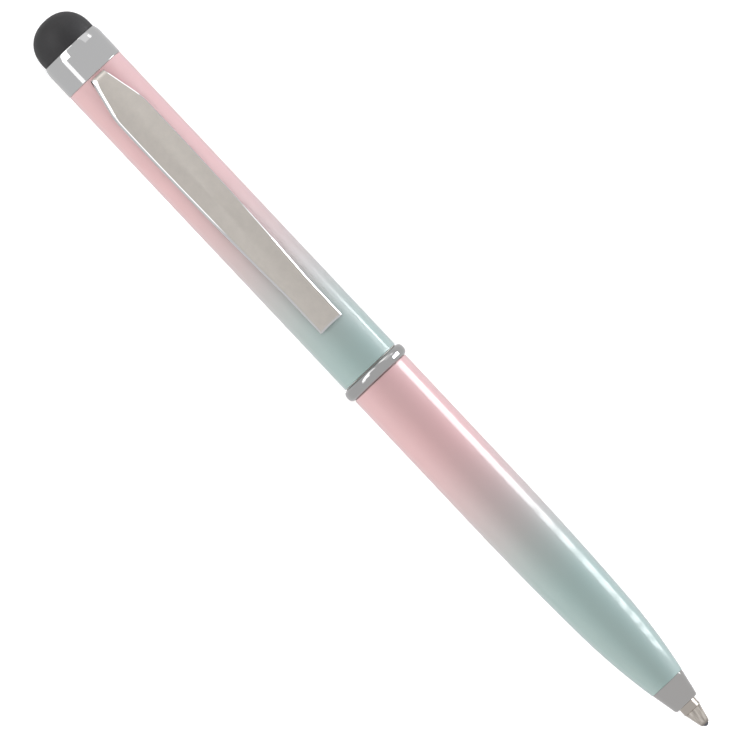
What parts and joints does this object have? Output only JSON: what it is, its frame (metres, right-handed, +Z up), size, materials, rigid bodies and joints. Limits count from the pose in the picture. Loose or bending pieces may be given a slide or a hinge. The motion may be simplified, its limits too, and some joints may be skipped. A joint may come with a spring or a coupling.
{
  "type": "twist-action ballpoint pen",
  "caption": "Slim twist-action ballpoint pen with a rubber stylus dome, a pocket clip, a centre ring and a tapered lower barrel.",
  "frame": {"origin": "under the middle of the pen's length, on the surface that its centre ring rests on", "axes": "+X along the pen towards the writing tip, +Z up through the clip, Y across"},
  "size_m": [0.1354, 0.0106, 0.0123],
  "materials": {
    "rubber": "matte",
    "chrome": "polished",
    "ombre_lacquer": "gloss lacquer that shades from pink through grey to pale green",
    "clip_steel": "satin with polished bevels",
    "brass": "turned",
    "acetal": "natural white",
    "nylon": "natural",
    "steel": "drawn tube and ground pin",
    "nickel_silver": "bright turned",
    "refill_metal": "drawn",
    "carbide": "lapped",
    "ink": "paste"
  },
  "bodies": {
    "lower_half": {"lower_barrel": "ombre_lacquer", "nose_cone": "chrome", "center_ring": "chrome", "transmission_housing": "brass", "guide_tube": "steel", "retaining_ring": "steel", "friction_ring": "rubber"},
    "twister": {"rotor_sleeve": "brass", "cam_sleeve": "acetal", "rotor_bush": "acetal"},
    "upper_half": {"upper_barrel": "ombre_lacquer", "grip_liner": "nylon", "end_plug": "brass", "stylus_collar": "chrome", "stylus_core": "nylon", "stylus_dome": "rubber"},
    "spring_clip": {"clip": "clip_steel"},
    "refill": {"refill_carrier": "acetal", "cam_pin": "steel", "refill_adapter": "acetal", "refill_tube": "refill_metal", "refill_tip": "nickel_silver", "ink_charge": "ink"},
    "ball": {"writing_ball": "carbide"}
  },
  "joints": [
    {"name": "twist", "type": "hinge", "parent": "lower_half", "child": "twister", "pos_m": [-0.00175, 0, 0.00535], "axis": [-1, 0, 0], "range_deg": [0, 180]},
    {"name": "refill_slide", "type": "slide", "parent": "lower_half", "child": "refill", "axis": [-1, 0, 0], "range_m": [0, 0.0055]},
    {"name": "pull_off", "type": "slide", "parent": "twister", "child": "upper_half", "axis": [-1, 0, 0], "range_m": [0, 0.045]},
    {"name": "clip_flex", "type": "hinge", "parent": "upper_half", "child": "spring_clip", "pos_m": [-0.0566, 0, 0.00985], "axis": [0, -1, 0], "range_deg": [0, 3], "stiffness_Nm_per_rad": 0.3, "springref_deg": -2.86},
    {"name": "ball_roll", "type": "hinge", "parent": "refill", "child": "ball", "pos_m": [0.06725, 0, 0.00535], "axis": [0, 1, 0], "continuous": true}
  ],
  "couplings": [
    {"joint": "refill_slide", "follows": "twist", "m_per_rad": 0.0017507}
  ]
}
